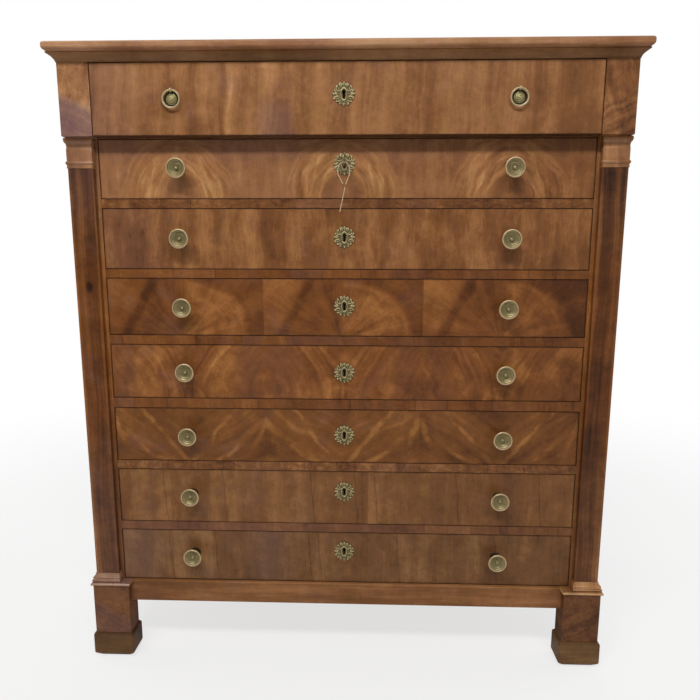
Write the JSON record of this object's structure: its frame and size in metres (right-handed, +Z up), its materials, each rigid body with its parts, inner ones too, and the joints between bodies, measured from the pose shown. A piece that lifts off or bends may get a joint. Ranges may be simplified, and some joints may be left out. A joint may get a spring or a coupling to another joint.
{
  "type": "semainier chest of drawers",
  "caption": "Tall walnut chest: projecting frieze drawer with ring pulls over plain drawers with brass knobs and locks, square pilasters with capitals, block feet.",
  "frame": {"origin": "on the floor, under the middle of the top board", "axes": "+Z up, drawers open towards -Y, +X to the right seen from the front"},
  "size_m": [1.092, 0.54, 1.244],
  "materials": {
    "walnut_drawer": "french-polished crotch and straight walnut veneer",
    "walnut_rail": "polished cross-grain walnut veneer",
    "walnut_burr": "polished figured walnut veneer",
    "walnut_moulding": "polished solid walnut",
    "walnut_top": "polished walnut",
    "walnut_case": "polished walnut",
    "walnut_dark": "worn dark walnut",
    "secondary_wood": "plain waxed oak and poplar",
    "brass": "aged cast and turned brass",
    "iron": "filed iron, oiled",
    "string": "twisted cotton string"
  },
  "bodies": {
    "carcase": {"top_board": "walnut_top", "cornice_moulding": "walnut_moulding", "frieze_blocks": "walnut_burr", "capitals": "walnut_moulding", "pilasters": "walnut_burr", "pilaster_bases": "walnut_moulding", "plinth_blocks": "walnut_dark", "foot_shoes": "walnut_dark", "corner_posts": "walnut_case", "side_panels": "walnut_case", "back_boards": "secondary_wood", "drawer_rails": "walnut_rail", "drawer_runners": "secondary_wood", "base_rail": "walnut_rail", "bottom_board": "secondary_wood"},
    "drawer_1": {"drawer_1_front": "walnut_drawer", "drawer_1_box": "secondary_wood", "drawer_1_pull_plates": "brass", "drawer_1_escutcheon": "brass", "drawer_1_lock": "iron"},
    "drawer_2": {"drawer_2_front": "walnut_drawer", "drawer_2_box": "secondary_wood", "drawer_2_knobs": "brass", "drawer_2_escutcheon": "brass", "drawer_2_lock": "iron"},
    "drawer_3": {"drawer_3_front": "walnut_drawer", "drawer_3_box": "secondary_wood", "drawer_3_knobs": "brass", "drawer_3_escutcheon": "brass", "drawer_3_lock": "iron"},
    "drawer_4": {"drawer_4_front": "walnut_drawer", "drawer_4_box": "secondary_wood", "drawer_4_knobs": "brass", "drawer_4_escutcheon": "brass", "drawer_4_lock": "iron"},
    "drawer_5": {"drawer_5_front": "walnut_drawer", "drawer_5_box": "secondary_wood", "drawer_5_knobs": "brass", "drawer_5_escutcheon": "brass", "drawer_5_lock": "iron"},
    "drawer_6": {"drawer_6_front": "walnut_drawer", "drawer_6_box": "secondary_wood", "drawer_6_knobs": "brass", "drawer_6_escutcheon": "brass", "drawer_6_lock": "iron"},
    "drawer_7": {"drawer_7_front": "walnut_drawer", "drawer_7_box": "secondary_wood", "drawer_7_knobs": "brass", "drawer_7_escutcheon": "brass", "drawer_7_lock": "iron"},
    "drawer_8": {"drawer_8_front": "walnut_drawer", "drawer_8_box": "secondary_wood", "drawer_8_knobs": "brass", "drawer_8_escutcheon": "brass", "drawer_8_lock": "iron"},
    "ring_left_pull": {"ring_left": "brass"},
    "ring_right_pull": {"ring_right": "brass"},
    "lock_key": {"key": "iron", "key_string": "string"},
    "bolt": {"lock_bolt": "iron"}
  },
  "joints": [
    {"name": "drawer_1_slide", "type": "slide", "parent": "carcase", "child": "drawer_1", "axis": [0, -1, 0], "range_m": [0, 0.38]},
    {"name": "drawer_2_slide", "type": "slide", "parent": "carcase", "child": "drawer_2", "axis": [0, -1, 0], "range_m": [0, 0.38]},
    {"name": "drawer_3_slide", "type": "slide", "parent": "carcase", "child": "drawer_3", "axis": [0, -1, 0], "range_m": [0, 0.38]},
    {"name": "drawer_4_slide", "type": "slide", "parent": "carcase", "child": "drawer_4", "axis": [0, -1, 0], "range_m": [0, 0.38]},
    {"name": "drawer_5_slide", "type": "slide", "parent": "carcase", "child": "drawer_5", "axis": [0, -1, 0], "range_m": [0, 0.38]},
    {"name": "drawer_6_slide", "type": "slide", "parent": "carcase", "child": "drawer_6", "axis": [0, -1, 0], "range_m": [0, 0.38]},
    {"name": "drawer_7_slide", "type": "slide", "parent": "carcase", "child": "drawer_7", "axis": [0, -1, 0], "range_m": [0, 0.38]},
    {"name": "drawer_8_slide", "type": "slide", "parent": "carcase", "child": "drawer_8", "axis": [0, -1, 0], "range_m": [0, 0.38]},
    {"name": "ring_left_swing", "type": "hinge", "parent": "drawer_1", "child": "ring_left_pull", "pos_m": [-0.3185, -0.2532, 1.16235], "axis": [-1, 0, 0], "range_deg": [0, 100]},
    {"name": "ring_right_swing", "type": "hinge", "parent": "drawer_1", "child": "ring_right_pull", "pos_m": [0.3185, -0.2532, 1.16235], "axis": [-1, 0, 0], "range_deg": [0, 100]},
    {"name": "key_turn", "type": "hinge", "parent": "drawer_2", "child": "lock_key", "pos_m": [0, -0.205, 1.0388], "axis": [0, 1, 0], "range_deg": [0, 360]},
    {"name": "bolt_throw", "type": "slide", "parent": "drawer_2", "child": "bolt", "axis": [0, 0, 1], "range_m": [0, 0.009]}
  ],
  "couplings": [
    {"joint": "key_turn", "follows": "bolt_throw", "rad_per_m": 698.13}
  ]
}
